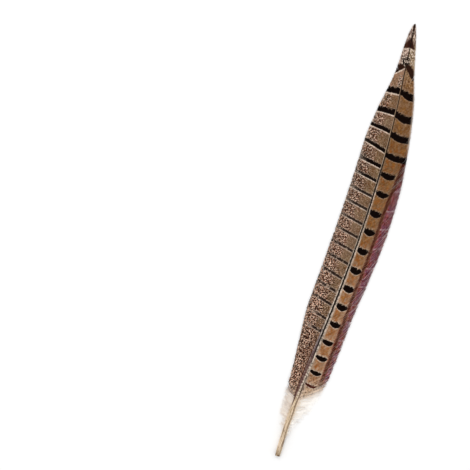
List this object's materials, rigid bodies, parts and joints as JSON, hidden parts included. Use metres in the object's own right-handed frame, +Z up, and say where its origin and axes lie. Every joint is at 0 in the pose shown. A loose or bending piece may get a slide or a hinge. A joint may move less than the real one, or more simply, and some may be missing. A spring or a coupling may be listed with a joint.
{
  "type": "pheasant tail feather",
  "caption": "Long barred tail feather with a tapering shaft, a hollow cut quill, vanes of barbs in locks and a downy foot, lying flat.",
  "frame": {"origin": "on the surface that the feather lies on, under the middle of its box", "axes": "+Y from the quill's cut end to the tip, +X towards the vane with the wide bars and rose fringe, +Z up, out of the feather's upper side"},
  "size_m": [0.0418, 0.3502, 0.0059],
  "materials": {
    "vane": "satin barbs, tan and olive-buff with near-black bars and a rose fringe",
    "quill": "smooth horn, cream at the quill, dark brown towards the tip",
    "down": "soft matt down, cream to grey"
  },
  "bodies": {
    "root": {"tail_feather": "vane"}
  },
  "joints": []
}
